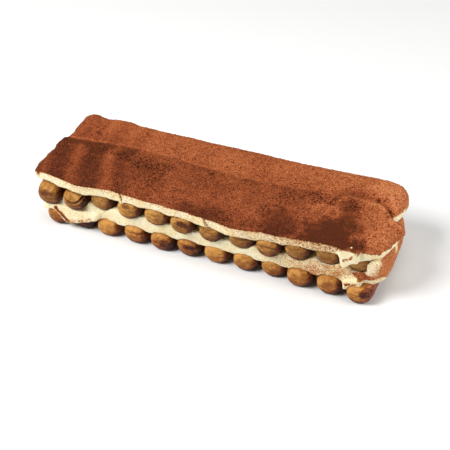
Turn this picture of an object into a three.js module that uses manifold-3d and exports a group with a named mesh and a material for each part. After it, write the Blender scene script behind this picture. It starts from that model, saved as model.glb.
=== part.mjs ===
// Tiramisu loaf: two rows of ladyfingers laid crosswise. The upper row is bedded in one layer of
// mascarpone cream and covered by another, whose top is spread in two long bands side by side.
// Millimetres, +Z up. +X runs along the loaf, -Y is its front, and z = 0 is what it rests on.

import * as THREE from "three";
import { mergeVertices } from "three/addons/utils/BufferGeometryUtils.js";
import Module from "manifold-3d";

const wasm = await Module();
wasm.setup();

// Driving dimensions

const FINGER = {
  length: 110,
  width: 27.6,
  height: 23,
  tipPower: 0.27, // roundness of the two tips, smaller is blunter
  domePower: 0.95, // roundness of the domed side, which faces down
  basePower: 0.7, // roundness of the flat baked side, which faces up
  around: 12, // facets round the section
  along: 10, // facets from tip to tip
};

const UNEVEN = {
  seed: 7,
  narrower: 0.03, // share of the width
  shorter: 0.02, // share of the length
  lower: 0.04, // share of the height
  rearTip: 2.2, // range over which the rear tips are staggered
  yaw: THREE.MathUtils.degToRad(1.1), // most that a finger turns from square
  yawWave: 1.7, // finger to finger step of the turning, in radians
};

const GAP = 0.3; // clearance between cream and the fingers it holds
const MERGE = 1e-4; // vertices closer than this are one

// frontTips says how far each finger's front tip stands out past the usual length. The lower row
// stands on a narrow flat along the domed side. The upper row's flat sides line up at its topside.
const LOWER_ROW = {
  name: "lower",
  flat: 1.7,
  pitch: 28.5, // from one finger to the next along the loaf
  shift: 0.7,
  frontTips: [-1.5, -1.5, 0, 0.5, 0.5, -0.5, -1, -1, -3, 1.5, 1.5, 3],
};
const UPPER_ROW = {
  name: "upper",
  topside: 52.2,
  flat: 0,
  pitch: 28.7,
  shift: -3.8,
  frontTips: [4, 4, -2, 0.5, 2, 3, 2, -1, 4, -2, -3, -3],
};

// The first fingers of the upper row tip down at the front.
const TIPPED = { fingers: 2, angle: THREE.MathUtils.degToRad(5.4) };

// The upper row and the cover have settled in the middle, and stand up a little to the right.
const SETTLED = { at: 35, spread: 52, dip: 3.5, riseFrom: 75, riseTo: 135, rise: 2 };

const BED = {
  front: -51,
  rear: 53,
  left: -171,
  right: 180.5,
  underside: 17, // in the valleys between the lower fingers
  surface: 35, // in the valleys between the upper fingers
  cornerRadius: 25,
  leftCornerShare: 0.1, // of the corner radius, on the squarer left end
  // The right end climbs against the last upper finger, then rounds down to a lip.
  shoulder: { climbFrom: 154, climbTo: 170, climb: 9, roundRun: 17, lip: 23 },
  wave: 0.8,
  segments: [18, 8, 1],
};

const COVER = {
  front: -55.5,
  frontRight: -51.5, // the front steps back to here near the right end, between two shares of the length
  frontStep: [0.92, 0.95],
  seam: 14, // where the two top bands meet
  seamRight: 8, // where they part at the right end, and the share of the length where they turn to it
  seamTurn: 0.8,
  // Before it turns, the seam bends back: by how much, and the shares of the length it bends over.
  seamBend: { by: 8, from: [0.795, 0.88], to: [0.95, 1] },
  rear: 57,
  underside: 51.4, // the upper fingers' flat sides sink in above this
  frontEdge: 61,
  crown: 65.5,
  lip: 54.5, // lowest point of the rounded ends and rear
  frontSlope: 30, // run over which the top climbs from the front edge
  // Extra dip of the front where nothing carries it, in the middle and at the right corner.
  frontSag: { dip: 2, run: 16, cornerDip: 2, cornerFrom: 150, cornerTo: 165 },
  rearHeld: 2.9, // how far the rear edge stands up from the dip in the middle
  rearRound: 12, // run of the rounding at the rear
  leftRound: 9, // run of the rounding at the two ends
  rightRound: 19,
  seamDepth: 1.6,
  seamWidth: 4.5,
  seamEndDepth: 7, // extra depth of the seam where the bands part at the right end
  seamEndRun: 34,
  raisedCorner: { x: -159, y: 45, height: 4.5, reach: 19 }, // at the left of the rear band
  wave: 0.9,
  segments: [28, 12, 1],
};

// The left end is cut at a slant, and the rear band starts a step further in.
const LEFT_END = { atSeam: -173.5, slant: 0.12, step: 4.5, cornerRun: 24, cornerInset: 10 };

// Each band bulges at the right end. A bow is how far the bulge stands out from its corners. The front
// band's side runs straight and slanted from the bulge to a rounded corner.
const RIGHT_BULGES = {
  front: { centre: -6, half: 22, reach: 187.5, bow: 38, slant: 0.27, cornerRadius: 10 },
  rear: { centre: 31, half: 30, reach: 180, bow: 26 },
};

// Cream pressed out past the fingers, as rounded blocks. Sizes are half sizes.
const PRESSED_OUT = {
  roundness: 0.6, // 1 is an egg, smaller is blockier
  facets: [12, 8], // around and up
  bedCorner: { centre: [168.5, -44, 40], size: [8, 8, 11] },
};

// Folds of cream that hang over the front: x and z of their corners, and y of their back and front.
const FOLDS = {
  rounding: 2,
  roundingSteps: 2,
  cover: {
    corners: [[135.8, 63], [139.5, 41.5], [144.5, 41.5], [150, 49.4], [155, 53], [155, 63]],
    depth: [-46, -57.5],
  },
  bed: {
    corners: [[141.3, 21.5], [142.6, 11.2], [152, 14.5], [159.5, 17.6], [160, 24.7], [156.6, 27.5]],
    depth: [-44, -55.5],
  },
  bedLeft: {
    corners: [[-168, 27], [-167.5, 18.5], [-157, 20], [-145, 6.5], [-139, 6], [-110, 17], [-106, 27]],
    depth: [-42, -56],
  },
};

// Slow unevenness of a hand-spread surface: two crossing waves and how much each counts.
const SPREAD = {
  long: { share: 0.6, run: 23, sway: 0.8, swayRun: 19 },
  short: { share: 0.4, run: 11.5, slant: 31, start: 1.3 },
  underside: 40, // how far the waves of an underside are shifted along the loaf
};

const COLOURS = {
  ladyfinger: "#b5803f",
  soaked: "#9a6128",
  cream: "#f1e3b4",
  dustedCream: "#a3572d",
};

// Small tools

// Repeatable random numbers from 0 to 1.
function seededRandom(seed) {
  let state = seed;
  return () => {
    state = (state * 16807) % 2147483647;
    return state / 2147483647;
  };
}

const signedPower = (value, power) => Math.sign(value) * Math.abs(value) ** power;

// Falls from 1 to 0 along a quarter ellipse as t goes from 0 to 1.
const quarterRound = (t) => Math.sqrt(1 - THREE.MathUtils.clamp(t, 0, 1) ** 2);

// A closed solid of a geometry's triangles.
function solidOf(geometry) {
  const bare = geometry.clone();
  bare.deleteAttribute("normal");
  bare.deleteAttribute("uv");
  const merged = mergeVertices(bare, MERGE);
  return new wasm.Manifold(
    new wasm.Mesh({
      numProp: 3,
      vertProperties: merged.attributes.position.array,
      triVerts: new Uint32Array(merged.index.array),
    }),
  );
}

// The triangles of the largest body of a solid. Loose scraps left by a cut are dropped.
function geometryOf(solid) {
  const bodies = solid.decompose();
  const largest = bodies.reduce((best, body) => (body.volume() > best.volume() ? body : best));
  const mesh = largest.getMesh();
  const geometry = new THREE.BufferGeometry();
  geometry.setAttribute("position", new THREE.BufferAttribute(mesh.vertProperties, mesh.numProp));
  geometry.setIndex(new THREE.BufferAttribute(mesh.triVerts, 1));
  geometry.computeVertexNormals();
  return geometry;
}

function reshape(geometry, move) {
  const position = geometry.attributes.position;
  const point = new THREE.Vector3();
  for (let i = 0; i < position.count; i++) {
    point.fromBufferAttribute(position, i);
    move(point);
    position.setXYZ(i, point.x, point.y, point.z);
  }
  return geometry;
}

// Ladyfingers

// One ladyfinger, centred, along Y. Its flat baked side is up and its dome down, cut off level by flat.
function ladyfingerGeometry({ length, width, height, flat }) {
  const ball = new THREE.SphereGeometry(1, FINGER.around, FINGER.along);
  const floor = flat - height / 2;
  return reshape(ball, (p) => {
    const ring = Math.hypot(p.x, p.z);
    const swell = ring ** FINGER.tipPower;
    const across = ring > 0 ? p.x / ring : 0;
    const upward = ring > 0 ? p.z / ring : 0;
    const sectionPower = upward > 0 ? FINGER.basePower : FINGER.domePower;
    p.x = signedPower(across, sectionPower) * swell * (width / 2);
    p.z = signedPower(upward, sectionPower) * swell * (height / 2);
    p.y = signedPower(p.y, FINGER.tipPower) * (length / 2);
    p.z = flat > 0 ? Math.max(p.z, floor) : p.z;
  });
}

// Share of the full dip at x.
const dipAt = (x) => Math.exp(-(((x - SETTLED.at) / SETTLED.spread) ** 2));

// How far the upper row and the cover have moved up or down at x.
const settledBy = (x) =>
  SETTLED.rise * THREE.MathUtils.smoothstep(x, SETTLED.riseFrom, SETTLED.riseTo) - SETTLED.dip * dipAt(x);

// A row of fingers as meshes, with the solids that cut their beds into the cream.
function ladyfingerRow(row, material, random) {
  const meshes = [];
  const cutters = [];
  const middle = (row.frontTips.length - 1) / 2;
  row.frontTips.forEach((frontTip, i) => {
    const size = {
      length: FINGER.length * (1 - UNEVEN.shorter * random()) + frontTip,
      width: FINGER.width * (1 - UNEVEN.narrower * random()),
      height: FINGER.height * (1 - UNEVEN.lower * random()),
      flat: row.flat,
    };
    const x = (i - middle) * row.pitch + row.shift;
    const y = (random() - 0.5) * UNEVEN.rearTip - frontTip / 2;
    const z = row === UPPER_ROW ? row.topside - size.height / 2 + settledBy(x) : size.height / 2 - row.flat;
    const mesh = new THREE.Mesh(ladyfingerGeometry(size), material);
    mesh.name = `ladyfinger_${row.name}_${String(i + 1).padStart(2, "0")}`;
    mesh.position.set(x, y, z);
    mesh.rotation.z = Math.sin((i + 1) * UNEVEN.yawWave) * UNEVEN.yaw;
    mesh.rotation.x = row === UPPER_ROW && i < TIPPED.fingers ? TIPPED.angle : 0;
    mesh.updateMatrix();
    const grown = ladyfingerGeometry({
      length: size.length + 2 * GAP,
      width: size.width + 2 * GAP,
      height: size.height + 2 * GAP,
      flat: 0,
    });
    meshes.push(mesh);
    cutters.push(solidOf(grown.applyMatrix4(mesh.matrix)));
  });
  return { meshes, cutters };
}

// Cream

// A slab on a grid. outline gives y for a share across and along, and then the two ends at that y.
// top and bottom are heights over x and y, and the grid is closest at the ends.
function slab({ segments, outline, top, bottom }) {
  const block = new THREE.BoxGeometry(1, 1, 1, ...segments);
  return reshape(block, (p) => {
    const alongShare = (1 + Math.sin(Math.PI * p.x)) / 2;
    const upShare = p.z + 0.5;
    p.y = outline.across(p.y + 0.5, alongShare);
    p.x = THREE.MathUtils.lerp(outline.left(p.y), outline.right(p.y), alongShare);
    p.z = THREE.MathUtils.lerp(bottom(p.x, p.y), top(p.x, p.y), upShare);
  });
}

// From one y to another as share goes from 0 to 1, slowly at both.
const easedBetween = (from, to, share) =>
  THREE.MathUtils.lerp(from, to, (1 - Math.cos(Math.PI * share)) / 2);

// Height of the spread surface's waves, from -1 to 1.
function spreadWave(x, y) {
  const { long, short } = SPREAD;
  const longWave = Math.sin(x / long.run + long.sway * Math.sin(y / long.swayRun));
  const shortWave = Math.sin(x / short.run - y / short.slant + short.start);
  return long.share * longWave + short.share * shortWave;
}

function pressedOut({ centre, size }) {
  const ball = new THREE.SphereGeometry(1, ...PRESSED_OUT.facets);
  const block = reshape(ball, (p) => {
    p.x = signedPower(p.x, PRESSED_OUT.roundness);
    p.y = signedPower(p.y, PRESSED_OUT.roundness);
    p.z = signedPower(p.z, PRESSED_OUT.roundness);
  });
  return solidOf(block.scale(...size).translate(...centre));
}

function fold({ corners, depth: [back, front] }) {
  const outline = new THREE.Shape(corners.map(([x, z]) => new THREE.Vector2(x, z)));
  const { rounding, roundingSteps } = FOLDS;
  const flap = new THREE.ExtrudeGeometry(outline, {
    depth: back - front - 2 * rounding,
    bevelSize: rounding,
    bevelThickness: rounding,
    bevelOffset: -rounding,
    bevelSegments: roundingSteps,
  });
  return solidOf(flap.rotateX(Math.PI / 2).translate(0, back - rounding, 0));
}

const cutAll = (body, cutters) => cutters.reduce((rest, cutter) => rest.subtract(cutter), body);

// The layer between the rows. Its right end bulges past the fingers and climbs the last upper one.
function creamBed(lowerCutters, upperCutters) {
  const { cornerRadius: corner, shoulder } = BED;
  const cornerInset = (y) => {
    const fromFront = (BED.front + corner - y) / corner;
    const fromRear = (y - (BED.rear - corner)) / corner;
    return corner * (1 - quarterRound(Math.max(fromFront, fromRear)));
  };
  const outline = {
    across: (share) => easedBetween(BED.front, BED.rear, share),
    left: (y) => BED.left + BED.leftCornerShare * cornerInset(y),
    right: (y) => BED.right - cornerInset(y),
  };
  const top = (x, y) => {
    const climb = shoulder.climb * THREE.MathUtils.smoothstep(x, shoulder.climbFrom, shoulder.climbTo);
    const full = BED.surface + settledBy(x) + climb + BED.wave * spreadWave(x, y);
    const intoEnd = 1 - (outline.right(y) - x) / shoulder.roundRun;
    return shoulder.lip + (full - shoulder.lip) * quarterRound(intoEnd);
  };
  const bottom = (x, y) => BED.underside + BED.wave * spreadWave(x + SPREAD.underside, y);
  const body = solidOf(slab({ segments: BED.segments, outline, top, bottom }))
    .add(fold(FOLDS.bed))
    .add(fold(FOLDS.bedLeft))
    .add(pressedOut(PRESSED_OUT.bedCorner));
  return cutAll(body, [...lowerCutters, ...upperCutters]);
}

// The top layer, cut square along the front and rounded at the rear and both ends.
function creamCover(upperCutters) {
  const bulge = ({ centre, half, reach, bow }, y) => {
    return reach - bow * (1 - quarterRound(Math.abs(y - centre) / half));
  };
  const frontSide = ({ centre, reach, slant, cornerRadius: corner }, y) => {
    const fromFront = (COVER.frontRight + corner - y) / corner;
    return reach - slant * (centre - y) - corner * (1 - quarterRound(fromFront));
  };
  const frontBand = (y) => {
    const band = RIGHT_BULGES.front;
    return y > band.centre ? bulge(band, y) : frontSide(band, y);
  };
  const frontAt = (alongShare) => {
    const step = THREE.MathUtils.smoothstep(alongShare, ...COVER.frontStep);
    return THREE.MathUtils.lerp(COVER.front, COVER.frontRight, step);
  };
  const seamAt = (alongShare) => {
    const { by, from, to } = COVER.seamBend;
    const turn = THREE.MathUtils.smoothstep(alongShare, COVER.seamTurn, 1);
    const bent = THREE.MathUtils.smoothstep(alongShare, ...from);
    const straight = THREE.MathUtils.smoothstep(alongShare, ...to);
    return THREE.MathUtils.lerp(COVER.seam, COVER.seamRight, turn) + by * (bent - straight);
  };
  const outline = {
    across: (share, alongShare) =>
      share < 0.5
        ? easedBetween(frontAt(alongShare), seamAt(alongShare), 2 * share)
        : easedBetween(seamAt(alongShare), COVER.rear, 2 * share - 1),
    left: (y) => {
      const { atSeam, slant, step, cornerRun, cornerInset } = LEFT_END;
      const corner = cornerInset * (1 - quarterRound((COVER.front + cornerRun - y) / cornerRun));
      return atSeam + slant * (y - COVER.seam) + corner + (y > COVER.seam ? step : 0);
    },
    right: (y) => Math.max(frontBand(y), bulge(RIGHT_BULGES.rear, y)),
  };
  const { frontSag, raisedCorner } = COVER;
  const level = (x, y) => {
    const overhang = 1 - THREE.MathUtils.smoothstep(y, COVER.front, COVER.front + frontSag.run);
    const corner = THREE.MathUtils.smoothstep(x, frontSag.cornerFrom, frontSag.cornerTo);
    return settledBy(x) - (frontSag.dip * dipAt(x) + frontSag.cornerDip * corner) * overhang;
  };
  const top = (x, y) => {
    const toLeft = x - outline.left(y);
    const toRight = outline.right(y) - x;
    const climb = THREE.MathUtils.clamp((y - COVER.front) / COVER.frontSlope, 0, 1);
    const arch = COVER.frontEdge + (COVER.crown - COVER.frontEdge) * Math.sin((climb * Math.PI) / 2);
    const parting = 1 - THREE.MathUtils.smoothstep(toRight, 0, COVER.seamEndRun);
    const seamDepth = COVER.seamDepth + COVER.seamEndDepth * parting;
    const seamLine = seamAt(toLeft / (toLeft + toRight));
    const seam = seamDepth * Math.exp(-(((y - seamLine) / COVER.seamWidth) ** 2));
    const fromCorner = Math.hypot(x - raisedCorner.x, y - raisedCorner.y) / raisedCorner.reach;
    const raised = raisedCorner.height * Math.exp(-(fromCorner ** 2));
    const height = arch - seam + raised + COVER.wave * spreadWave(x, y) - COVER.lip;
    const fall =
      quarterRound(1 - toLeft / COVER.leftRound) *
      quarterRound(1 - toRight / COVER.rightRound) *
      quarterRound(1 - (COVER.rear - y) / COVER.rearRound);
    const held = COVER.rearHeld * dipAt(x) * THREE.MathUtils.smoothstep(y, 0, COVER.rear);
    return COVER.lip + level(x, y) + held + Math.max(height, 0) * fall;
  };
  const bottom = (x, y) => COVER.underside + level(x, y);
  const body = solidOf(slab({ segments: COVER.segments, outline, top, bottom }));
  return cutAll(body.add(fold(FOLDS.cover)), upperCutters);
}

// Scene graph

const material = (colour, roughness) =>
  new THREE.MeshStandardMaterial({ color: colour, roughness, metalness: 0 });

function creamMesh(name, solid, colour) {
  const mesh = new THREE.Mesh(geometryOf(solid), material(colour, 0.6));
  mesh.name = name;
  return mesh;
}

const random = seededRandom(UNEVEN.seed);
const soaked = material(COLOURS.soaked, 0.7);
const baked = material(COLOURS.ladyfinger, 0.7);
const lower = ladyfingerRow(LOWER_ROW, soaked, random);
const upper = ladyfingerRow(UPPER_ROW, baked, random);

const loaf = new THREE.Group();
loaf.add(...lower.meshes);
loaf.add(creamMesh("cream_bed", creamBed(lower.cutters, upper.cutters), COLOURS.cream));
loaf.add(...upper.meshes);
loaf.add(creamMesh("cream_cover", creamCover(upper.cutters), COLOURS.dustedCream));

// The origin is under the middle of the loaf.
const box = new THREE.Box3().setFromObject(loaf, true);
const middle = box.getCenter(new THREE.Vector3());
loaf.position.set(-middle.x, -middle.y, -box.min.z);

const tiramisu = new THREE.Group();
tiramisu.add(loaf);

export default tiramisu;
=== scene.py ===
# Tiramisu loaf. Two rows of ladyfingers lie crosswise, with a cream bed between them and a cream
# cover dusted with cocoa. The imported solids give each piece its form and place.
# Objects are in metres. Sizes here are millimetres along the frame's own axes: +X runs along the loaf,
# -Y is its front and z = 0 is what it rests on. Places are measured from the middle of the two rows.
import math

import bmesh
import bpy
import numpy as np
from mathutils import Matrix, Vector, noise


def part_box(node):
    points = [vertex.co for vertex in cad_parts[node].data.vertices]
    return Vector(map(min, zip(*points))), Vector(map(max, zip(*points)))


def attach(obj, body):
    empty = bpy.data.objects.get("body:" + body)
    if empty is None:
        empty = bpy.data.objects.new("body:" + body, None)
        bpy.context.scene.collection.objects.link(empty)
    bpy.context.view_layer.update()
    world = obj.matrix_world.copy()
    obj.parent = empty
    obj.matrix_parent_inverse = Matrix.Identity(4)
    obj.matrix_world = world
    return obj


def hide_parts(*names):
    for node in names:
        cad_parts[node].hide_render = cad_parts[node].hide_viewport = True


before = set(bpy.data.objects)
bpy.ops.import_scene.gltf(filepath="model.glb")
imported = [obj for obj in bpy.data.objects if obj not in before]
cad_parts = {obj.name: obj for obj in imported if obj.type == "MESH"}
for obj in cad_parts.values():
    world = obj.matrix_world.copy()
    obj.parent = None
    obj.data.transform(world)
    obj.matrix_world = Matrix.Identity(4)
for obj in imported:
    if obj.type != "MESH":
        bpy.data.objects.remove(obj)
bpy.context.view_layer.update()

MM = 0.001
MERGE = 0.01 * MM

# Sizes

ORIGIN = np.array((-3.95, 0.89, 0))  # the middle of the rows, in the frame

# Fingers get painted shade where they face away from the lit side.
FINGER = {"voxel": 1.0, "smoothing": 16, "dome": 1.0, "ring_height": 9, "lit_side": (-0.5, -0.55, 0.67)}
# Their flanks in the gaps get painted shade too, but less so on the loaf's ends, past this x.
END_FLANKS = (156, 166)
# How far from a finger's tip these fade out, or come in.
FROM_TIP = {"dome": (14, 4), "fold": (14, 6), "rings": (20, 6), "soak_and_shade": (20, 10), "flank": (9, 22)}
COVER = {"voxel": 1.15, "smoothing": 12, "front": -55.5, "underside": 51.4, "lip": 54.5}
BED = {"voxel": 1.15, "smoothing": 12, "front": -51.0}
# The cut fronts of the creams keep their edges: so far behind the front, nothing is smoothed. Nor is
# the corner of the cover's seam, left of an x and so far about it, but the fold's end on the bed is.
SHARP = 4
SEAM_CORNER = {"x": -158, "reach": 8}
FOLD_END = (-118, -98)

# Where the cover's two bands meet: y at the left and at the right, and x of the turn between them.
# Near the left end it comes forward, in the middle it bows to the front, and near the right end it
# bends back. At both ends it lies open.
SEAM = {"left": 14.0, "right": 8.0, "turn": (109, 183), "uneven": 1.3}
SEAM_OPEN = {"left": (-108, -135), "right": (104, 132)}
FORWARD = {"by": 6, "over": (-95, -160), "spread": 14}
BOW = {"at": 12, "spread": 45, "by": 4}
BEND = {"by": 8, "from": (104, 134), "to": (175, 158)}

# Folds along the open seam: how far behind it, half width, share at the left and at the right, tone of
# the cocoa and height. The tone is painted shade in the crease and valley, and a painted highlight on
# the light line and crest.
FOLDS = {
    "crease": (0, 1.5, 1, 0.35, -0.5, -1.1),
    "light line": (0.9, 1.0, 1, 0, 0.9, 0),
    "valley": (0, 4, 0, 1, -0.3, -0.8),
    "crest": (-9.5, 3, 0, 1, 0.5, 0.8),
}
# At the left the cocoa before it lies in a hollow, between these distances behind the seam, with painted
# shade as its tone.
HOLLOW = {"from": (-15, -2), "to": (0.5, -2), "tone": -0.8, "height": -0.7}
# Where the seam is closed it shows as two painted lines, a highlight on it and a shade in front of it:
# how far behind it, half width and tone.
CLOSED_SEAM = {"light": (1.0, 1.2, 0.4), "dark": (-3.5, 3, -0.32)}
# The front band sinks where the bands part: x and y, reach, how far and above what z. There the rear
# one has a bare lip: y and reach, from what x and up to what z.
PARTING = {
    "centre": (180, 10),
    "reach": (8, 7),
    "sink": 4,
    "above": (54, 60),
    "lip": (12, 15),
    "lip_from": (168, 172),
    "lip_top": 59.8,
}
# That place is drawn to the front: how far, over what run of x, and how wide about it.
DRAWN = {"by": 8.5, "over": (158, 178), "spread": 13}

# The rear band's left end is drawn out a little: how far, y from the seam to the corner, and the run.
REAR_END = {"by": 3.2, "front": (7, 12), "rear": (55, 42), "run": (-140, -166)}
# Its edge there bulges and is notched: x, half width and height, and y over which this comes in.
REAR_EDGE = {"bulge": (-122, 10, 1.3), "notch": (-146, 7, -2.2)}
REAR_EDGE_FROM = (30, 50)
# In front of it the front band's corner stands up: x and y, reach and height.
STANDING_CORNER = {"centre": (-171, 2), "reach": 9, "height": 4}

# The cover's front edge stands back or steps forward: x, half width and how far it goes in x and y.
FRONT_STEPS = {
    "left corner": (-172, 22, (-2, 5)),
    "left step": (-127, 13, (0, -2.8)),
    "right of step": (-92, 12, (0, 1.2)),
    "middle step": (36, 16, (0, -3.4)),
}
FRONT_STEP_DEPTH = 30
# The cover's lower edge hangs down between the fingers: half width and how far. It hangs at the right
# front corner too: x, half width and how far.
HANGING = {"width": 5.5, "by": 1.5, "corner": (156, 7, 5)}

# The loaf has settled in the middle, and stands up a little to the right.
SETTLED = {"at": 35, "spread": 52, "dip": 3.5, "rise_over": (75, 135), "rise": 2}

# Places on the cover's top where the cocoa has taken up moisture: x, y, half length, half width, amount.
DAMP_PATCHES = {
    "right front": (124, -38, 21, 17, 1.15),
    "right front edge": (125, -50, 25, 10, 1.1),
    "right front left": (108, -43, 9, 13, 0.9),
    "right front rear": (132, -22, 10, 10, 0.8),
    "right front top": (131, -8, 7, 12, 0.5),
    "right of middle": (77, -43, 18, 16, 0.52),
    "middle edge": (-4, -50, 24, 9, 0.35),
    "left front": (-127, -40, 26, 15, 0.3),
    "left corner": (-156, -43, 13, 13, 0.3),
}
DAMP_FADE = (0.5, 1.5)  # the share of a patch's size over which it fades out
DAMP_LEFT = {"amount": 0.3, "over": (-60, -120)}
# Places where it is dark and pitted.
DARK_PATCHES = {
    "stippled left": (-130, 0, 16, 6, 0.7),
    "stippled": (-95, -3, 18, 10, 0.9),
    "stippled right": (-66, -8, 18, 11, 0.9),
    "rear streak": (-142, 28, 5, 13, 0.5),
    "front streak": (-56, -31, 5, 15, 0.4),
    "seam middle": (93, 4, 12, 8, 0.8),
    "seam left of middle": (70, -3, 14, 9, 0.6),
    "seam right of middle": (113, 5, 6, 9, 0.9),
    "over the damp": (130, 4, 7, 10, 0.9),
    "left of the damp": (64, -26, 9, 10, 0.6),
}
LIGHT_PATCHES = {"islands": (108, -10, 13, 6, 0.6)}
# It is pitted all over at the right.
PITTED_RIGHT = {"amount": 0.3, "over": (50, 110)}
# Single dark spots: x, y, radius.
SPOTS = {
    "rear left": (-161, 30, 1.3),
    "middle of seam": (-9.5, 2.7, 1.6),
    "behind crest": (153.5, 18.5, 1.8),
    "behind crest right": (166.5, 11, 1.6),
    "right of crest": (168, -5, 1.4),
    "wet corner": (153, -48, 6),
}
# Strips across the front band's left end, slanted by a share of y: x in the middle, half width, tone.
STRIPS = {
    "left edge": (-174, 5, 0.5),
    "dark left": (-160, 7, -0.55),
    "light left": (-143, 6, 0.45),
    "dark": (-125, 9, -0.55),
    "light": (-108, 5.5, 0.55),
    "dark right": (-94, 7, -0.3),
}
STRIP_SLANT = {"share": 0.28, "from": -25, "ragged": 0.2, "fade": (-1, -9)}

# Broad changes of the cocoa's tone: how much, and the runs of x, of y or behind the seam over which
# each comes in. The lighter rear is partly thicker, drier dust and partly painted light; the lighter
# right end is painted light.
TONE_FIELDS = {
    "left": (0.45, ("x", -60, -120)),
    "far left": (-0.4, ("x", -60, -150)),
    "left front": (-0.25, ("x", -40, -90), ("behind", 2, -6)),
    "front band": (-0.2, ("x", 120, 60), ("behind", 0, -8)),
    "front edge": (-0.4, ("x", -50, -10), ("x", 150, 130), ("y", -38, -54)),
    # Lighter rear and right end: painted light, the rear partly also drier, thicker dust.
    "rear": (0.25, ("y", 4, 34)),
    "right rear": (0.2, ("x", 60, 110), ("behind", 2, 10)),
    "rear right end": (0.2, ("x", 140, 170), ("behind", 4, 14)),
    "front right end": (0.2, ("x", 150, 160), ("y", -15, -35)),
    "right end": (0.5, ("x", 125, 175)),
}

# Faults in the cover's cut front: x at two heights. The crack has a drip under it, and at the
# overlap the cream to the left stands out over the rest.
CRACK = {"top": (-83.2, 62), "bottom": (-80.5, 53), "width": 1.2, "depth": 2.0}
DRIP = {"centre": (-80.6, -55.2, 51.8), "radii": (1.9, 1.7, 3.2)}
OVERLAP = {"top": (4.2, 58), "bottom": (8, 50), "run": 16, "height": 1.6}

# Cocoa rubbed on the cover's left front corner.
RUBBED = {"centre": (-175, -50.5, 60), "radius": 6, "amount": 0.9}

# Specks of cocoa on the cover's cut front: the least, and how much is added high up and at the right.
COVER_SPECKS = {"least": 0.25, "high": 0.08, "right": 0.2, "over": (0, 120)}
# Right of this run of x the front is under a dusted overhang, down to this run of z.
OVERHANG = {"x": (154, 158), "z": (57, 59)}
# The bare lip below the dusted top is lower or higher in places: how much lower, and runs of x and y.
LIP_CHANGES = {
    "right front": (-0.4, (120, 150), (5, -20)),
    "right end": (4, (150, 160), (-25, -18)),
}
# How ragged the dust's edge is, twice as much from this run of x.
RIM = {"coarse": 0.8, "fine": 0.5, "twice": (146, 152)}

# Crumbs of cream on the dusted top: x, y, radius.
CREAM_CRUMBS = {"front corner": (147, -53, 1.0)}
CRUMBS_ABOVE = 55

# Folds of cream that hang over the front at the right, each with a smear of cocoa: x and z.
COVER_FOLD = {
    "centre": (145.5, -54, 50),
    "radii": (13, 9, 12.5),
    "smear": {"from": (142.5, 49.3), "to": (149.5, 55.8), "width": 2.8, "amount": 0.7},
}
BED_FOLD = {
    "centre": (150, -52, 19),
    "radii": (11, 9, 9),
    "smear": {"from": (145, 18.6), "to": (154, 22.4), "width": 2.4, "amount": 0.7},
}
# Smears lie on the front alone, before this y.
SMEARS_BEFORE = -38
# Cocoa on the cream bed: a streak down the edge of the left fold, and specks along its lower edge.
COCOA_STREAK = {"from": (-154, 23.5), "to": (-142, 10), "width": 3.2}
DROOP_SPECKS = {"from": (-142, 9.5), "to": (-107, 20), "width": 5}
# Cocoa on the bed's cut front: the least, how much is added towards the right, and where it ends.
BED_DUST = {"least": 0.06, "right": 0.56, "over": (0, 130), "end": (156, 150)}
# Its cocoa is painted lighter on the right end, and beside the fold between two runs of x: painted light
# on the shoulder that the cover shades.
BED_PAINTED_LIGHT = {"end": (160, 172), "beside": ((150, 153), (164, 157)), "amount": 0.6}
# The bed's right end is dusted above a bare lip. On the front the dust starts at a slanted line, given
# as x and z. On the end wall it starts where that turns to the right: how far that way, at a height,
# and slant. It fades out over a run of y at the rear.
DUSTED_END = {"top": (144.5, 36), "bottom": (157, 24), "front_top": 33, "soft": 2.5}
DUSTED_WALL = {
    "facing": (0.934, 0.358),
    "from": 140.9,
    "at": 33,
    "slant": 0.45,
    "soft": 3.5,
    "rear": (34, 54),
}
BARE_SPOT = {"centre": (179, -1, 31), "radius": 6.5, "amount": 0.85}
# The lip drops behind the front corner, over a run of y. That corner has specks, most near the wall.
END_LIP = {"height": 25, "drop": 6, "over": (-40, -30)}
SPECKLED_CORNER = {"from": (156, 160), "least": 0.2, "added": 0.28, "near": (-8, 0)}

# How soaked the fingers are, and how much more or less so each is.
SOAK_ALL = 0.06
SOAK = {
    "lower_01": 0.06,
    "lower_02": 0.45,
    "lower_03": -0.12,
    "lower_05": 0.06,
    "lower_06": 0.14,
    "lower_07": -0.15,
    "lower_08": -0.04,
    "lower_10": 0.06,
    "lower_11": 0.03,
    "upper_01": 0.04,
    "upper_02": 0.05,
    "upper_05": -0.06,
    "upper_07": 0.13,
    "upper_09": 0.06,
    "upper_10": 0.07,
    "upper_11": -0.05,
    "upper_12": -0.1,
}
# Fingers whose front tip has a soaked patch: sideways, upwards, half width, half height, amount.
SOAKED_TIPS = {
    "upper_01": (-3, 0.5, 10, 4, 0.3),
    "upper_04": (-1, 6, 5.5, 3, 0.4),
    "upper_06": (1.3, 2.8, 7.5, 4, 0.5),
    "lower_05": (6, 0, 8, 6, 0.35),
    "lower_06": (2, 2, 8, 4, 0.35),
    "lower_12": (7, 3.5, 6, 5.5, 0.65),
}
# Fingers whose crust folds over at the front tip: height of the fold over the middle, its bow and depth.
FOLDED_TIPS = {
    "upper_02": (-3.9, 13.5, 1.1),
    "upper_08": (2.0, 3.0, 0.45),
    "upper_09": (3.2, -1.0, 0.4),
    "lower_04": (3.0, 2.0, 0.4),
    "lower_06": (1.5, 3.0, 0.35),
}
# The last lower finger is dusted on its right side, from this far right of its middle.
DUSTED_FINGER = {"name": "lower_12", "from": (5, 9), "ragged": 2}

CLUMPS = {"seed": 11, "count": 9000, "smallest": 0.25, "largest": 0.65, "flat": 0.7}

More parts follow.
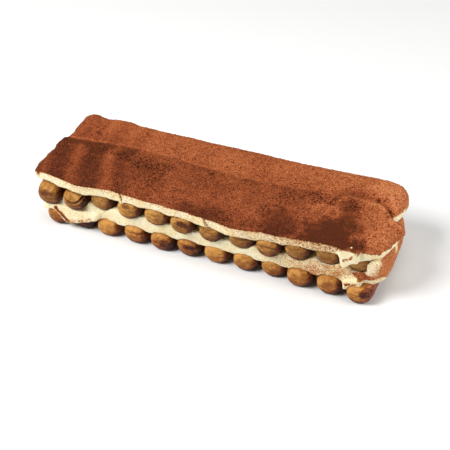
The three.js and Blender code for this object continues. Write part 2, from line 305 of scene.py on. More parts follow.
COCOA = {
    "pit": "#34150c",
    "dark": "#502616",
    "mid": "#904829",
    "light": "#c07245",
    "bright": "#d99465",
    "thin": "#c98c50",
    "sheen": "#d8843c",
}
CREAM = {"pale": "#f9efcd", "deep": "#f0dda8", "pore": "#bc8447"}
# Crust colours along the soak, which also carries the fingers' painted shade.
UPPER_CRUST = {"light": "#c79148", "mid": "#8f5b24", "dark": "#5e2c0d", "soaked": "#2e1407"}
LOWER_CRUST = {"light": "#ce9349", "mid": "#985b24", "dark": "#642b0e", "soaked": "#301307"}
FLOOR_COLOUR = "#fafaf9"

CAMERA = {"azimuth": 21.0, "elevation": 40.4, "distance": 1103, "target": (5.0, 0, 4.9), "lens": 88}
# Round lights: the way to each, its size in metres and its power. All are equally far away.
LIGHTS = {
    "key_light": ((-0.7, -0.6, 1.0), 0.9, 26),
    "top_light": ((0.1, 0.25, 1), 1.0, 7),
    "right_light": ((0.95, 0.05, 0.6), 1.0, 12),
}
LIGHT_DISTANCE = 1.6
WORLD_STRENGTH = 0.07


# Small tools

def colour(hexcode):
    """A linear colour from a written one."""
    shares = [int(hexcode[i:i + 2], 16) / 255 for i in (1, 3, 5)]
    linear = [s / 12.92 if s <= 0.04045 else ((s + 0.055) / 1.055) ** 2.4 for s in shares]
    return (*linear, 1.0)


def ease(values, start, end):
    """Rises smoothly from 0 to 1 as values go from start to end."""
    share = np.clip((values - start) / (end - start), 0, 1)
    return share * share * (3 - 2 * share)


def hump(values, centre, width):
    return np.exp(-(((values - centre) / width) ** 2))


def noise_over(points, length, stretch=(1, 1, 1), seed=0):
    """Smooth noise from about -1 to 1 at each point, with waves of the given length."""
    scaled = points / (length * np.array(stretch)) + 31.7 * seed
    return np.array([noise.noise(p) for p in scaled.tolist()])


def settled(x):
    """How far the loaf stands up, or has sunk, along its length."""
    rise = SETTLED["rise"] * ease(x, *SETTLED["rise_over"])
    return rise - SETTLED["dip"] * hump(x, SETTLED["at"], SETTLED["spread"])


# Meshes

def merged_copy(node):
    """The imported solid's triangles as one closed skin."""
    skin = bmesh.new()
    skin.from_mesh(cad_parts[node].data)
    bmesh.ops.remove_doubles(skin, verts=skin.verts, dist=MERGE)
    return skin


def add_lump(skin, centre, radii):
    """Adds an egg shape, which a remesh fuses to what it touches."""
    middle = Vector(ORIGIN + centre) * MM
    place = Matrix.Translation(middle) @ Matrix.Diagonal((*(Vector(radii) * MM), 1))
    bmesh.ops.create_icosphere(skin, subdivisions=3, radius=1, matrix=place)


def remeshed(skin, voxel):
    """The same closed form in even quads."""
    mesh = bpy.data.meshes.new("coarse")
    skin.to_mesh(mesh)
    skin.free()
    carrier = bpy.data.objects.new("coarse", mesh)
    bpy.context.scene.collection.objects.link(carrier)
    remesh = carrier.modifiers.new("voxels", "REMESH")
    remesh.mode = "VOXEL"
    remesh.voxel_size = voxel * MM
    fine = bmesh.new()
    fine.from_object(carrier, bpy.context.evaluated_depsgraph_get())
    bpy.data.objects.remove(carrier)
    bpy.data.meshes.remove(mesh)
    return fine


def smoothed(skin, passes, keep_sharp=lambda point: False):
    origin = Vector(ORIGIN)
    soft = [v for v in skin.verts if not keep_sharp(v.co / MM - origin)]
    axes = {"use_axis_x": True, "use_axis_y": True, "use_axis_z": True}
    for _ in range(passes):
        bmesh.ops.smooth_vert(skin, verts=soft, factor=0.5, **axes)
    return skin


def mesh_of(skin, name):
    mesh = bpy.data.meshes.new(name)
    skin.to_mesh(mesh)
    skin.free()
    mesh.shade_smooth()
    return mesh


def box_of(node):
    """The lowest and highest corner of a solid."""
    return [np.array(corner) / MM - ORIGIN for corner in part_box(node)]


def points_of(mesh):
    flat = np.empty(3 * len(mesh.vertices), np.float32)
    mesh.vertices.foreach_get("co", flat)
    return flat.reshape(-1, 3).astype(float) / MM - ORIGIN


def normals_of(mesh):
    flat = np.empty(3 * len(mesh.vertices), np.float32)
    mesh.vertex_normals.foreach_get("vector", flat)
    return flat.reshape(-1, 3).astype(float)


def move(mesh, offsets):
    points = points_of(mesh) + offsets + ORIGIN
    mesh.vertices.foreach_set("co", (points * MM).astype(np.float32).ravel())
    mesh.update()


def fit(mesh, low, high):
    """Stretches a smoothed mesh back to the box of its solid."""
    points = points_of(mesh)
    lowest, highest = points.min(axis=0), points.max(axis=0)
    fitted = low + (points - lowest) * (high - low) / (highest - lowest)
    move(mesh, fitted - points)


def push(mesh, heights):
    """Moves every vertex along its normal."""
    move(mesh, normals_of(mesh) * heights[:, None])


def rest_on_floor(mesh):
    below = np.maximum(-points_of(mesh)[:, 2], 0)
    move(mesh, below[:, None] * (0, 0, 1))


def paint(mesh, name, values):
    layer = mesh.attributes.new(name, "FLOAT", "POINT")
    layer.data.foreach_set("value", values.astype(np.float32))


def painted(mesh, name):
    values = np.empty(len(mesh.vertices), np.float32)
    mesh.attributes[name].data.foreach_get("value", values)
    return values


def add_piece(mesh, materials, nodes=()):
    """Puts a finished mesh in the scene as a piece of the loaf."""
    piece = bpy.data.objects.new(mesh.name, mesh)
    bpy.context.scene.collection.objects.link(piece)
    for material in materials:
        mesh.materials.append(material)
    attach(piece, "root")
    if nodes:
        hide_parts(*nodes)
    return piece


# Material nodes

def new_material(name):
    material = bpy.data.materials.new(name)
    material.use_nodes = True
    return material, material.node_tree, material.node_tree.nodes["Principled BSDF"]


def feed(tree, node, inputs):
    """Sets a node's inputs, each to a number, a colour or another node's output."""
    for name, value in inputs.items():
        if isinstance(value, bpy.types.NodeSocket):
            tree.links.new(value, node.inputs[name])
        else:
            node.inputs[name].default_value = value


def put(tree, kind, inputs, **settings):
    node = tree.nodes.new(kind)
    for name, value in settings.items():
        setattr(node, name, value)
    feed(tree, node, inputs)
    return node


def place_of(tree):
    return put(tree, "ShaderNodeTexCoord", {}).outputs["Object"]


def stretched(tree, vector, scale):
    return put(tree, "ShaderNodeMapping", {"Vector": vector, "Scale": scale}).outputs["Vector"]


def noise_at(tree, vector, length, detail=2.0, roughness=0.5):
    """Noise from about 0 to 1, with waves of a length in millimetres."""
    inputs = {"Vector": vector, "Scale": 1 / (length * MM), "Detail": detail, "Roughness": roughness}
    return put(tree, "ShaderNodeTexNoise", inputs).outputs["Fac"]


def attribute(tree, name):
    return put(tree, "ShaderNodeAttribute", {}, attribute_name=name).outputs["Fac"]


def ranged(tree, value, low, high, to_low=0.0, to_high=1.0, smooth=False):
    inputs = {"Value": value, "From Min": low, "From Max": high, "To Min": to_low, "To Max": to_high}
    kind = "SMOOTHSTEP" if smooth else "LINEAR"
    return put(tree, "ShaderNodeMapRange", inputs, interpolation_type=kind).outputs["Result"]


def worked(tree, operation, a, b):
    return put(tree, "ShaderNodeMath", {0: a, 1: b}, operation=operation).outputs[0]


def mixed(tree, share, a, b):
    return put(tree, "ShaderNodeMix", {0: share, 6: a, 7: b}, data_type="RGBA").outputs[2]


def ramp(tree, value, stops):
    """Colours along a value. stops are pairs of place and colour."""
    node = put(tree, "ShaderNodeValToRGB", {"Fac": value})
    elements = node.color_ramp.elements
    while len(elements) < len(stops):
        elements.new(0.5)
    for element, (position, shade) in zip(elements, stops):
        element.position = position
        element.color = shade
    return node.outputs["Color"]


def bumped(tree, height, strength, distance):
    inputs = {"Height": height, "Strength": strength, "Distance": distance * MM}
    return put(tree, "ShaderNodeBump", inputs).outputs["Normal"]


# Materials

def cocoa_colour(tree, place, tone, damp, pitted=0.0):
    """Cocoa from dark to light by tone. Where it is dry it is grainy, mottled and dotted with pits."""
    grain = ranged(tree, noise_at(tree, place, 1.0, roughness=0.6), 0.28, 0.72, -0.45, 0.45)
    mottle = ranged(tree, noise_at(tree, place, 5, detail=3.0), 0.3, 0.7, -0.12, 0.14)
    pit = ranged(tree, noise_at(tree, stretched(tree, place, (1, -1, 1)), 1.4), 0.52, 0.7, 0.06, -0.6)
    hole = ranged(tree, noise_at(tree, stretched(tree, place, (-1, 1, 1)), 2.1), 0.52, 0.62, 0.1, -0.9)
    stipple = worked(tree, "ADD", pit, worked(tree, "MULTIPLY", hole, pitted))
    powder = worked(tree, "ADD", worked(tree, "ADD", grain, mottle), stipple)
    dryness = ranged(tree, damp, 0.0, 1.0, 1.0, 0.2)
    level = worked(tree, "ADD", ranged(tree, tone, -1, 1), worked(tree, "MULTIPLY", powder, dryness))
    shades = {"pit": -0.4, "dark": 0.0, "mid": 0.5, "light": 1.0, "bright": 1.3}
    lowest, highest = shades["pit"], shades["bright"]
    stops = [((at - lowest) / (highest - lowest), colour(COCOA[shade])) for shade, at in shades.items()]
    return ramp(tree, ranged(tree, level, lowest, highest), stops)


def cream_colour(tree, place):
    """Cream, with brown pores where the attribute porous says that it is cut or torn."""
    cloud = noise_at(tree, place, 14, detail=3.0)
    body = mixed(tree, ranged(tree, cloud, 0.35, 0.7), colour(CREAM["pale"]), colour(CREAM["deep"]))
    opened = worked(tree, "MULTIPLY", attribute(tree, "porous"), 0.16)
    speckle = worked(tree, "ADD", noise_at(tree, place, 1.4, roughness=0.6), opened)
    pore = ranged(tree, speckle, 0.62, 0.76)
    return mixed(tree, worked(tree, "MULTIPLY", pore, 0.7), body, colour(CREAM["pore"]))


def dusted_cream(name, sheen, gloss, glow):
    """Cream with cocoa over it, golden where thin. The attribute dusting is the share that it covers."""
    material, tree, shader = new_material(name)
    place = place_of(tree)
    dusting = attribute(tree, "dusting")
    damp = attribute(tree, "damp")
    scatter = ranged(tree, noise_at(tree, place, 1.2, detail=3.0, roughness=0.65), 0.28, 0.72)
    margin = worked(tree, "SUBTRACT", ranged(tree, dusting, 0, 1, -0.4, 1.4), scatter)
    cover = ranged(tree, margin, -0.55, 0.55, smooth=True)
    cocoa = cocoa_colour(tree, place, attribute(tree, "tone"), damp, attribute(tree, "pitted"))
    thin = mixed(tree, ranged(tree, cover, 0, 0.6), cream_colour(tree, place), colour(COCOA["thin"]))
    relief = noise_at(tree, place, 1.1, detail=3.0, roughness=0.65)
    feed(tree, shader, {
        "Base Color": mixed(tree, ranged(tree, cover, 0.35, 1), thin, cocoa),
        "Roughness": ranged(tree, cover, 0, 1, 0.5, 0.9),
        "Normal": bumped(tree, relief, 0.5, 0.5),
        "Specular IOR Level": gloss,
        "Sheen Weight": sheen,
        "Sheen Roughness": 0.5,
        "Sheen Tint": colour(COCOA["sheen"]),
        "Subsurface Weight": glow,
        "Subsurface Radius": (1.0, 0.75, 0.4),
        "Subsurface Scale": 3 * MM,
    })
    return material


def cocoa_grains():
    material, tree, shader = new_material("cocoa_grains")
    shade = cocoa_colour(tree, place_of(tree), attribute(tree, "tone"), 0.5)
    feed(tree, shader, {"Base Color": shade, "Roughness": 0.95, "Specular IOR Level": 0.05})
    return material


def crust(name, shades):
    """Soft baked crust, darker and wetter where coffee has soaked in, and darker where shade is painted
    in.
    """
    material, tree, shader = new_material(name)
    place = place_of(tree)
    soak_and_shade = attribute(tree, "soak_and_shade")
    lengthwise = put(tree, "ShaderNodeSeparateXYZ", {"Vector": place}).outputs["Y"]
    rings = {
        "X": attribute(tree, "ring"),
        "Y": attribute(tree, "round"),
        "Z": worked(tree, "MULTIPLY", lengthwise, 0.4),
    }
    ringed = put(tree, "ShaderNodeCombineXYZ", rings).outputs["Vector"]
    wrinkle = noise_at(tree, ringed, 2.1, detail=4.0, roughness=0.6)
    streak = ranged(tree, wrinkle, 0.3, 0.7, -0.18, 0.18)
    blotch = ranged(tree, noise_at(tree, place, 4, detail=5.0, roughness=0.6), 0.3, 0.7, -0.12, 0.12)
    fleck = ranged(tree, noise_at(tree, place, 0.9, roughness=0.6), 0.3, 0.7, -0.1, 0.1)
    uneven = worked(tree, "ADD", worked(tree, "ADD", streak, blotch), fleck)
    level = worked(tree, "ADD", soak_and_shade, uneven)
    stops = zip((0.0, 0.35, 0.7, 1.0), ("light", "mid", "dark", "soaked"))
    baked = ramp(tree, level, [(position, colour(shades[shade])) for position, shade in stops])
    dusting = attribute(tree, "dusting")
    scatter = ranged(tree, noise_at(tree, place, 1.4, roughness=0.6), 0.3, 0.7)
    cover = ranged(tree, worked(tree, "SUBTRACT", dusting, scatter), -0.1, 0.2, smooth=True)
    dust = cocoa_colour(tree, place, attribute(tree, "tone"), 0.0)
    sponge = noise_at(tree, place, 1.2, detail=4.0, roughness=0.6)
    relief = worked(tree, "ADD", sponge, worked(tree, "MULTIPLY", wrinkle, 0.5))
    feed(tree, shader, {
        "Base Color": mixed(tree, cover, baked, dust),
        "Roughness": ranged(tree, wrinkle, 0.3, 0.7, 0.42, 0.62),
        "Normal": bumped(tree, relief, 0.5, 0.6),
        "Specular IOR Level": 0.18,
    })
    return material


# Ladyfingers

def tip_fold(points, name, low, high):
    """Relief of a crust that folds over itself at the front tip, and the shade in its crease."""
    if name not in FOLDED_TIPS:
        return np.zeros(len(points)), np.zeros(len(points))
    height, bow, depth = FOLDED_TIPS[name]
    middle = (low + high) / 2
    sideways = (points[:, 0] - middle[0]) / (high[0] - low[0]) * 2
    over = points[:, 2] - middle[2] - height - bow * sideways ** 2
    near = ease(points[:, 1] - low[1], *FROM_TIP["fold"])
    crease = near * hump(over, 0, 1.1)
    relief = near * (0.9 * hump(over, 2.2, 1.8) + 0.4 * hump(over, -2.4, 1.4)) - 1.1 * crease
    return depth * relief, 0.2 * depth * crease


def tip_rings(points, low, high):
    """Distances from a point over the front tip, and ways round it, which the wrinkles follow."""
    middle = (low + high) / 2
    sideways = 0.7 * (points[:, 0] - middle[0])
    upwards = points[:, 2] - middle[2] - FINGER["ring_height"]
    ring = np.hypot(sideways, upwards) + 1.7 * middle[2]
    return ring, 3 * np.arctan2(sideways, -upwards) + 0.3 * middle[0]


def dome_tips(mesh, low, high):
    """Rounds the two tips of a finger, seen from above."""
    x, y, _ = points_of(mesh).T
    sideways = np.abs(2 * x - low[0] - high[0]) / (high[0] - low[0])
    back = FINGER["dome"] * sideways ** 2.2
    front_tip = ease(y - low[1], *FROM_TIP["dome"])
    rear_tip = ease(high[1] - y, *FROM_TIP["dome"])
    move(mesh, (back * (front_tip - rear_tip))[:, None] * (0, 1, 0))


def soaked_tip(points, name, low, high):
    """How far coffee has soaked in at each point of a finger."""
    middle = (low + high) / 2
    soak_and_shade = SOAK_ALL + SOAK.get(name, 0) + 0.15 * noise_over(points, 12, seed=3)
    if name in SOAKED_TIPS:
        sideways, upwards, half_width, half_height, amount = SOAKED_TIPS[name]
        ragged = 0.3 * noise_over(points, 4, seed=5)
        away = np.hypot(
            (points[:, 0] - middle[0] - sideways) / half_width,
            (points[:, 2] - middle[2] - upwards) / half_height,
        )
        near = ease(points[:, 1] - low[1], *FROM_TIP["soak_and_shade"])
        soak_and_shade = soak_and_shade + amount * near * (1 - ease(away + ragged, 0.45, 1.15))
    return soak_and_shade


def crust_relief(points, from_tip, ring, way_round):
    """Lumps, wrinkles along the finger, rings round its tips and a fine grain."""
    lumps = 0.5 * noise_over(points, 16)
    wrinkles = 0.1 - 0.35 * np.abs(noise_over(points, 5, (1, 3, 1), seed=1))
    round_tip = np.stack((ring, way_round, 0 * ring), axis=1)
    rings = 0.16 * ease(from_tip, *FROM_TIP["rings"]) * noise_over(round_tip, 2.4)
    grain = 0.12 * noise_over(points, 2.2, seed=2)
    return lumps + wrinkles + rings + grain


def painted_finger_shade(points, normals, from_tip):
    """Painted shade on a finger: darker on its flanks, below, and where it turns away from the lit side.
    """
    flank = ease(from_tip, *FROM_TIP["flank"]) * (1 - 0.7 * ease(np.abs(points[:, 0]), *END_FLANKS))
    underside = ease(-normals[:, 2], 0.25, 0.85)
    to_the_front = normals.copy()
    to_the_front[:, 1] = -np.abs(normals[:, 1])
    turned = 1 - ease(to_the_front @ np.array(FINGER["lit_side"]), 0.0, 0.95)
    return 0.72 * turned + 0.3 * flank + 0.2 * underside


def finger_dusting(points, name, low, high):
    """Cocoa on the last lower finger's right side, and the streak that runs down over the first."""
    if name == DUSTED_FINGER["name"]:
        right = points[:, 0] - (low[0] + high[0]) / 2
        ragged = DUSTED_FINGER["ragged"] * noise_over(points, 4, seed=6)
        return ease(right + ragged, *DUSTED_FINGER["from"])
    if name.startswith("lower"):
        return along_streak(points, COCOA_STREAK)
    return np.zeros(len(points))


def ladyfinger(node, material):
    name = node.removeprefix("ladyfinger_")
    skin = smoothed(remeshed(merged_copy(node), FINGER["voxel"]), FINGER["smoothing"])
    mesh = mesh_of(skin, f"soft_{node}")
    low, high = box_of(node)
    fit(mesh, low, high)
    dome_tips(mesh, low, high)
    points = points_of(mesh)
    from_tip = np.minimum(points[:, 1] - low[1], high[1] - points[:, 1])
    ring, way_round = tip_rings(points, low, high)
    fold, crease = tip_fold(points, name, low, high)
    push(mesh, crust_relief(points, from_tip, ring, way_round) + fold)
    rest_on_floor(mesh)

    points, normals = points_of(mesh), normals_of(mesh)
    # The soak also carries painted shade: on the flanks, below, away from the lit side and in a fold's
    # crease.
    soak_and_shade = soaked_tip(points, name, low, high) + painted_finger_shade(points, normals, from_tip) + crease
    paint(mesh, "soak_and_shade", soak_and_shade)
    paint(mesh, "ring", ring * MM)
    paint(mesh, "round", way_round * MM)
    paint(mesh, "dusting", finger_dusting(points, name, low, high))
    paint(mesh, "tone", 0.6 - 1.2 * ease(soak_and_shade, 0.4, 1.0))
    return add_piece(mesh, [material], [node])


def ladyfinger_rows():
    upper = crust("baked_crust", UPPER_CRUST)
    lower = crust("soaked_crust", LOWER_CRUST)
    for node in sorted(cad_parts):
        if node.startswith("ladyfinger_upper"):
            ladyfinger(node, upper)
        elif node.startswith("ladyfinger_lower"):
            ladyfinger(node, lower)


# Cream

def patches_over(points, patches, ragged, soft=(0.7, 1.25)):
    """How much of the named patches lies at each point, seen from above. They fade out over soft."""
    warped = points[:, :2] + ragged
    frayed = 0.35 * noise_over(points, 3.5, seed=31)
    amount = np.zeros(len(points))
    for x, y, along, across, strength in patches.values():
        away = np.hypot((warped[:, 0] - x) / along, (warped[:, 1] - y) / across)
        amount = np.maximum(amount, strength * (1 - ease(away + frayed, *soft)))
    return amount


def ragged_edge(points):
    """Sideways shifts that make the edge of a patch uneven."""
    shifts = []
    for seed in (5, 6):
        shifts.append(8 * noise_over(points, 14, seed=seed) + 5 * noise_over(points, 5, seed=seed + 20))
    return np.stack(shifts, axis=1)


def seam_line(x):
    turned = (SEAM["right"] - SEAM["left"]) * ease(x, *SEAM["turn"])
    bow = BOW["by"] * hump(x, BOW["at"], BOW["spread"])
    drawn = FORWARD["by"] * ease(x, *FORWARD["over"]) + DRAWN["by"] * ease(x, *DRAWN["over"])
    bend = BEND["by"] * ease(x, *BEND["from"]) * ease(x, *BEND["to"])
    return SEAM["left"] + turned - bow - drawn + bend


def behind_seam(points):
    """How far behind the seam of the two bands each point lies."""
    uneven = SEAM["uneven"] * noise_over(points, 15, seed=21)
    return points[:, 1] - seam_line(points[:, 0]) + uneven


def seam_folds(points, behind):
    """Painted highlight and shade, and height, along the seam: folds where open, lines where closed."""
    open_left = ease(points[:, 0], *SEAM_OPEN["left"])
    open_right = ease(points[:, 0], *SEAM_OPEN["right"])
    hollow = ease(behind, *HOLLOW["from"]) * ease(behind, *HOLLOW["to"]) * open_left
    tone = HOLLOW["tone"] * hollow
    height = HOLLOW["height"] * hollow
    for at, width, left, right, painted_seam_shading, fold_height in FOLDS.values():
        fold = hump(behind, at, width) * (left * open_left + right * open_right)
        tone += painted_seam_shading * fold
        height += fold_height * fold
    closed = (1 - open_left) * (1 - open_right) * (0.7 + 0.5 * noise_over(points, 16, seed=30))
    for at, width, painted_line_shading in CLOSED_SEAM.values():
        tone += painted_line_shading * closed * hump(behind, at, width)
    return tone, height


def shape_left_end(mesh):
    """Brings the seam forward, draws the rear band out and lifts the front band's corner."""
    x, y, _ = points_of(mesh).T
    forward = FORWARD["by"] * hump(y, SEAM["left"], FORWARD["spread"]) * ease(x, *FORWARD["over"])
    move(mesh, forward[:, None] * (0, -1, 0))
    y = y - forward
    drawn_out = ease(y, *REAR_END["front"]) * ease(y, *REAR_END["rear"]) * ease(x, *REAR_END["run"])
    move(mesh, REAR_END["by"] * drawn_out[:, None] * (-1, 0, 0))
    corner_x, corner_y = STANDING_CORNER["centre"]
    away = np.hypot(x - corner_x, y - corner_y)
    lift = STANDING_CORNER["height"] * hump(away, 0, STANDING_CORNER["reach"])
    move(mesh, lift[:, None] * (0, 0, 1))


def step_front(mesh):
    """Moves the cover's front edge back or forward in places."""
    x, y, _ = points_of(mesh).T
    shift = sum(np.outer(hump(x, at, half), (*by, 0)) for at, half, by in FRONT_STEPS.values())
    near_front = 1 - ease(y, COVER["front"], COVER["front"] + FRONT_STEP_DEPTH)
    move(mesh, shift * near_front[:, None])


def part_bands(mesh):
    """Sinks the front band where the two bands part at the right end, and draws that place forward."""
    x, y, z = points_of(mesh).T
    centre, reach = PARTING["centre"], PARTING["reach"]
    sink = PARTING["sink"] * hump(x, centre[0], reach[0]) * hump(y, centre[1], reach[1])
    move(mesh, (sink * ease(z, *PARTING["above"]))[:, None] * (0, 0, -1))
    forward = DRAWN["by"] * hump(y, centre[1], DRAWN["spread"]) * ease(x, *DRAWN["over"])
    move(mesh, forward[:, None] * (0, -1, 0))


def along_streak(points, streak, ragged=0.8):
    """A smear of cocoa along a line on the front, whose ends are given as x and z."""
    start, end = np.array(streak["from"]), np.array(streak["to"])
    run = end - start
    place = points[:, (0, 2)]
    along = np.clip((place - start) @ run / (run @ run), 0, 1)
    away = np.linalg.norm(place - start - along[:, None] * run, axis=1)
    away = away + ragged * noise_over(points, 3, seed=25)
    return (1 - ease(away, 0.3 * streak["width"], streak["width"])) * (points[:, 1] < SMEARS_BEFORE)


def past_line(points, line):
    """How far right of a slanted line on the front each point lies."""
    (x_top, z_top), (x_bottom, z_bottom) = line["top"], line["bottom"]
    share = (z_top - points[:, 2]) / (z_top - z_bottom)
    return points[:, 0] - x_top - share * (x_bottom - x_top)


def along_line(points, line, width):
    """A thin slanted line on the front, from its top to its bottom."""
    z_top, z_bottom = line["top"][1], line["bottom"][1]
    on_run = ease(points[:, 2], z_bottom - 1, z_bottom) * (1 - ease(points[:, 2], z_top, z_top + 1))
    return hump(past_line(points, line), 0, width) * on_run


def hanging_edge(points):
    """How far the lower edge of the cover hangs down between the fingers under it."""
    x, y, z = points.T
    from_front = y - COVER["front"]
    middles = [np.mean(box_of(node), axis=0)[0] for node in sorted(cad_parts) if "upper" in node]
    gaps = sum(hump(x, (left + right) / 2, HANGING["width"]) for left, right in zip(middles, middles[1:]))
    between = HANGING["by"] * gaps * (1 - ease(from_front, 3, 8))
    corner_x, corner_width, corner_by = HANGING["corner"]
    corner = corner_by * hump(x, corner_x, corner_width) * (1 - ease(from_front, 9, 17))
    edge = 1 - ease(z - COVER["underside"] - settled(x), 1, 6)
    return (between + corner) * edge


def clean_fold(points, fold):
    """Share of clean cream, which is all of a fold."""
    away = np.linalg.norm((points - fold["centre"]) / fold["radii"], axis=1)
    return 1 - ease(away, 0.8, 1.15)


def fold_smear(points, dusting, fold):
    """Cocoa on a fold, which is clean but for a smear in its middle."""
    uneven = fold["smear"]["amount"] + 0.8 * noise_over(points, 2.2, seed=28)
    smear = along_streak(points, fold["smear"]) * uneven
    return np.maximum(dusting * (1 - clean_fold(points, fold)), smear)


def cover_sharp(point):
    seam_corner = point.x < SEAM_CORNER["x"] and abs(point.y - SEAM["left"]) < SEAM_CORNER["reach"]
    return point.y < COVER["front"] + SHARP or seam_corner


def cream_crumbs(points):
    """Where crumbs of cream lie on the top, and how high they are."""
    x, y, z = points.T
    crumbs = np.zeros(len(points))
    heights = np.zeros(len(points))
    for crumb_x, crumb_y, radius in CREAM_CRUMBS.values():
        away = np.hypot(x - crumb_x, y - crumb_y)
        crumb = (1 - ease(away, 0.5 * radius, 1.2 * radius)) * (z > CRUMBS_ABOVE)
        crumbs = np.maximum(crumbs, crumb)
        heights = np.maximum(heights, radius * crumb)
    return crumbs, heights


def cover_tone(points, behind, ragged, damp, dark):
    """How light the cocoa is on the top: patches, strips, broad changes, partly painted light, and single
    spots.
    """
    x, y, _ = points.T
    slanted = x + STRIP_SLANT["share"] * (y - STRIP_SLANT["from"]) + STRIP_SLANT["ragged"] * ragged[:, 0]
    strips = sum(amount * hump(slanted, at, half) for at, half, amount in STRIPS.values())
    tone = strips * ease(behind, *STRIP_SLANT["fade"])
    tone += 0.3 * noise_over(points, 26, seed=7)
    tone += 0.4 * noise_over(points, 12, (1, 7, 7), seed=22) * ease(x, -55, -100)
    tone += 0.6 * patches_over(points, LIGHT_PATCHES, ragged) - 0.4 * dark - damp
    ways = {"x": x, "y": y, "behind": behind}
    for amount, *runs in TONE_FIELDS.values():
        tone += amount * math.prod(ease(ways[way], start, end) for way, start, end in runs)
    for spot_x, spot_y, radius in SPOTS.values():
        tone -= 1.6 * hump(np.hypot(x - spot_x, y - spot_y), 0, radius)
    return tone


def cover_dusting(points, normals, front_face, faults):
    """Share that cocoa hides. The top is dusted down to a bare lip, and the cut front has specks."""
    x, y, z = points.T
    ragged = RIM["coarse"] * noise_over(points, 5, seed=8) + RIM["fine"] * noise_over(points, 2.5, seed=9)
    rim = ragged * (1 + ease(x, *RIM["twice"]))
    over_lip = z - COVER["lip"] - settled(x) + rim
    for lower, run_x, run_y in LIP_CHANGES.values():
        over_lip += lower * ease(x, *run_x) * ease(y, *run_y)
    above_lip = ease(over_lip, 0.6, 2.4)
    overhung = ease(x, *OVERHANG["x"]) * ease(z + rim, *OVERHANG["z"])
    dusted_edge = np.maximum(ease(normals[:, 2] + 0.15 * rim, 0.25, 0.7), overhung)
    dusting = above_lip * (1 - front_face) + dusted_edge * front_face
    dusting *= ease(normals[:, 2], -0.4, -0.1)
    specks = COVER_SPECKS["least"] + COVER_SPECKS["high"] * high_on_front(points)
    specks += COVER_SPECKS["right"] * ease(x, *COVER_SPECKS["over"])
    specks *= 1 - ease(x, *OVERHANG["x"])
    dusting = np.maximum(dusting, specks * front_face)
    dusting = fold_smear(points, dusting, COVER_FOLD)
    dusting = np.maximum(dusting, faults)
    from_rubbed = np.linalg.norm(points - RUBBED["centre"], axis=1) + rim
    dusting = np.maximum(dusting, RUBBED["amount"] * hump(from_rubbed, 0, RUBBED["radius"]))
    parted = ease(x, *PARTING["lip_from"]) * hump(y, *PARTING["lip"])
    bare_lip = parted * (1 - ease(z + 0.6 * rim - PARTING["lip_top"], -1.5, 1))
    return dusting * (1 - bare_lip)


def high_on_front(points):
    """Rises from 0 to 1 up the cover's cut front."""
    return ease(points[:, 2] - COVER["underside"] - settled(points[:, 0]), 4, 9)


def top_relief(points, damp):
    """Waves, streaks, pits and grain of the dusted top, and its uneven rear edge."""
    x, y, _ = points.T
    waves = 0.5 * noise_over(points, 24, seed=12)
    streaks = 0.7 * noise_over(points, 9, (1, 7, 4), seed=10) * ease(x, -50, -110)
    pits = -0.4 * ease(noise_over(points, 2.5, seed=27), 0.15, 0.45)
    grain = (1 - 0.85 * damp) * (0.25 * noise_over(points, 2.6, seed=11) + pits)
    edge = sum(height * hump(x, at, half) for at, half, height in REAR_EDGE.values())
    return waves + streaks + grain + edge * ease(y, *REAR_EDGE_FROM)


def front_relief(points):
    """Pores, drag marks, the crack and the overlap in the cover's cut front."""
    lumps = 0.3 * noise_over(points, 6, seed=15)
    pores = -0.55 * ease(noise_over(points, 2.8, seed=13), 0.25, 0.5)
    drag = 0.25 * noise_over(points, 2.4, (1, 1, 5), seed=14)
    crack = -CRACK["depth"] * hump(past_line(points, CRACK), 0, CRACK["width"])
    past_overlap = past_line(points, OVERLAP)
    overlap = ease(past_overlap, -OVERLAP["run"], -1) * (1 - ease(past_overlap, -0.5, 0.5))
    return lumps + pores + drag + crack + OVERLAP["height"] * overlap


